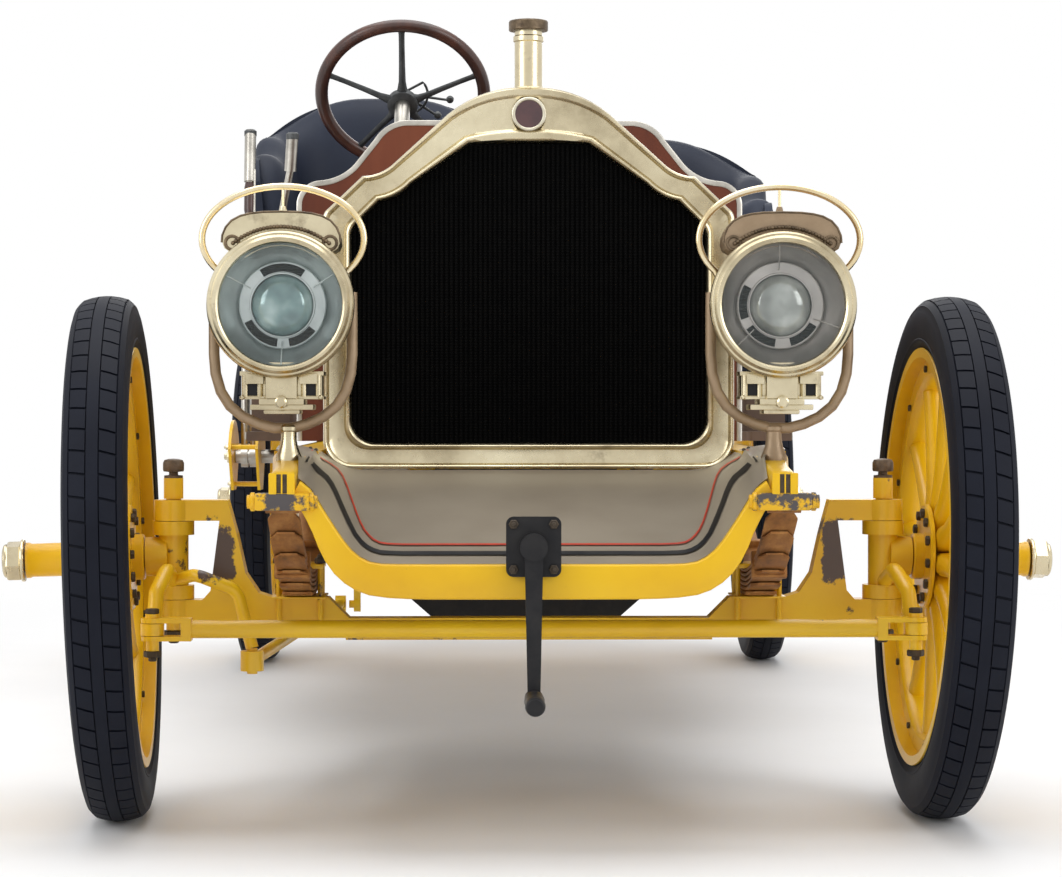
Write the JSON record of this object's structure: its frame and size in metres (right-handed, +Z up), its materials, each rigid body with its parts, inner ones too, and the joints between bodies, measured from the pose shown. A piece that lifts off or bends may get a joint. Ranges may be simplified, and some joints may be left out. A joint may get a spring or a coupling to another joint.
{
  "type": "brass era touring runabout",
  "caption": "Open two-seat brass era runabout with acetylene lamps, wooden spoked wheels, lifting bonnet, working steering and starting crank.",
  "frame": {"origin": "on the ground, on the centreline, midway along the car", "axes": "+Z up, the car faces -Y, +X is the car's left; +Y is the long axis"},
  "size_m": [1.8399, 4.393, 1.6698],
  "materials": {
    "yellow_paint": "gloss enamel",
    "yellow_wood": "painted ash, gloss enamel",
    "tyre_rubber": "matt black-navy rubber",
    "brass": "polished, slightly dulled",
    "core_black": "satin black",
    "taupe_paint": "satin enamel",
    "spring_steel": "oiled, lightly rusted",
    "iron": "dull grey-black",
    "black_paint": "satin black",
    "bright_steel": "worn nickel",
    "dash_wood": "varnished mahogany",
    "floor_wood": "varnished brown",
    "rim_wood": "oiled dark wood",
    "seat_paint": "satin navy",
    "leather": "navy, soft sheen",
    "lamp_glass": "clear",
    "bracket_paint": "satin grey-brown",
    "enamel": "plain glossy enamel"
  },
  "bodies": {
    "chassis": {"front_axle": "yellow_paint", "front_springs": "spring_steel", "rear_springs": "spring_steel", "rear_axle": "yellow_paint", "frame": "yellow_paint", "front_apron": "taupe_paint", "crank_plate": "black_paint", "radiator_shell": "brass", "radiator_core": "core_black", "radiator_cap": "brass", "radiator_badge": "enamel", "bonnet_rail": "brass", "engine_block": "iron", "undertray": "black_paint", "gearbox": "iron", "exhaust": "iron", "dash_board": "dash_wood", "toe_board": "floor_wood", "body_floor": "floor_wood", "rear_deck": "floor_wood", "seat_shells": "seat_paint", "seat_cushions": "leather", "seat_backs": "leather", "fuel_tank": "taupe_paint", "lamp_bodies": "brass", "lamp_glasses": "lamp_glass", "lamp_forks": "bracket_paint", "lamp_bails": "brass", "steering_column": "bright_steel", "hand_levers": "bright_steel", "lever_quadrant": "yellow_paint", "pedals": "black_paint"},
    "wheel_front_right": {"tyre_front_right": "tyre_rubber", "wheel_front_right": "yellow_wood", "hub_front_right": "yellow_paint", "hub_cap_front_right": "brass"},
    "wheel_front_left": {"tyre_front_left": "tyre_rubber", "wheel_front_left": "yellow_wood", "hub_front_left": "yellow_paint", "hub_cap_front_left": "brass"},
    "wheel_rear_right": {"tyre_rear_right": "tyre_rubber", "wheel_rear_right": "yellow_wood", "hub_rear_right": "yellow_paint", "hub_cap_rear_right": "brass"},
    "wheel_rear_left": {"tyre_rear_left": "tyre_rubber", "wheel_rear_left": "yellow_wood", "hub_rear_left": "yellow_paint", "hub_cap_rear_left": "brass"},
    "knuckle_right": {"knuckle_right": "yellow_paint"},
    "knuckle_left": {"knuckle_left": "yellow_paint"},
    "tie_rod": {"tie_rod": "yellow_paint"},
    "drag_link": {"drag_link": "yellow_paint"},
    "drop_arm": {"drop_arm": "black_paint"},
    "steering_wheel": {"steering_wheel": "rim_wood"},
    "starting_crank": {"starting_crank": "black_paint"},
    "bonnet_left": {"bonnet_left": "taupe_paint"},
    "bonnet_right": {"bonnet_right": "taupe_paint"}
  },
  "joints": [
    {"name": "steer_right", "type": "hinge", "parent": "chassis", "child": "knuckle_right", "pos_m": [-0.622, -1.578, 0.45], "axis": [0, 0, 1], "range_deg": [-26.9, 23.1]},
    {"name": "steer_left", "type": "hinge", "parent": "chassis", "child": "knuckle_left", "pos_m": [0.622, -1.578, 0.45], "axis": [0, 0, 1], "range_deg": [-26.9, 23.1]},
    {"name": "tie_rod_pin", "type": "hinge", "parent": "knuckle_right", "child": "tie_rod", "pos_m": [-0.6356, -1.78395, 0.347], "axis": [0, 0, 1], "range_deg": [-22.5, 26.2]},
    {"name": "drag_link_ball", "type": "hinge", "parent": "knuckle_right", "child": "drag_link", "pos_m": [-0.47651, -1.68277, 0.285], "axis": [0, 0, 1], "range_deg": [-21, 24.4]},
    {"name": "drop_arm_swing", "type": "hinge", "parent": "chassis", "child": "drop_arm", "pos_m": [-0.345, -0.568, 0.54], "axis": [1, 0, 0], "range_deg": [-17.2, 14.8]},
    {"name": "steering_wheel_turn", "type": "hinge", "parent": "chassis", "child": "steering_wheel", "pos_m": [-0.28, 0.572, 1.499], "axis": [0, 0.766, 0.6428], "range_deg": [-323, 277.5]},
    {"name": "wheel_front_right_spin", "type": "hinge", "parent": "knuckle_right", "child": "wheel_front_right", "pos_m": [-0.72363, -1.58315, 0.45686], "axis": [-0.9983, -0.0506, -0.0279], "continuous": true},
    {"name": "wheel_front_left_spin", "type": "hinge", "parent": "knuckle_left", "child": "wheel_front_left", "pos_m": [0.72375, -1.5764, 0.45686], "axis": [0.9995, 0.0157, -0.0279], "continuous": true},
    {"name": "wheel_rear_right_spin", "type": "hinge", "parent": "chassis", "child": "wheel_rear_right", "pos_m": [-0.711, 1.572, 0.457], "axis": [1, 0, 0], "continuous": true},
    {"name": "wheel_rear_left_spin", "type": "hinge", "parent": "chassis", "child": "wheel_rear_left", "pos_m": [0.711, 1.572, 0.457], "axis": [1, 0, 0], "continuous": true},
    {"name": "crank_turn", "type": "hinge", "parent": "chassis", "child": "starting_crank", "pos_m": [0, -2.068, 0.498], "axis": [0, 1, 0], "continuous": true},
    {"name": "bonnet_left_lift", "type": "hinge", "parent": "chassis", "child": "bonnet_left", "pos_m": [0, -0.898, 1.274], "axis": [0, -1, 0], "range_deg": [0, 70]},
    {"name": "bonnet_right_lift", "type": "hinge", "parent": "chassis", "child": "bonnet_right", "pos_m": [0, -0.898, 1.274], "axis": [0, 1, 0], "range_deg": [0, 70]}
  ],
  "couplings": [
    {"joint": "steer_left", "follows": "steer_right", "ratio": 1},
    {"joint": "tie_rod_pin", "follows": "steer_right", "ratio": -0.969},
    {"joint": "drag_link_ball", "follows": "steer_right", "ratio": -0.905},
    {"joint": "drop_arm_swing", "follows": "steer_right", "ratio": 0.635},
    {"joint": "steering_wheel_turn", "follows": "steer_right", "ratio": 12}
  ]
}
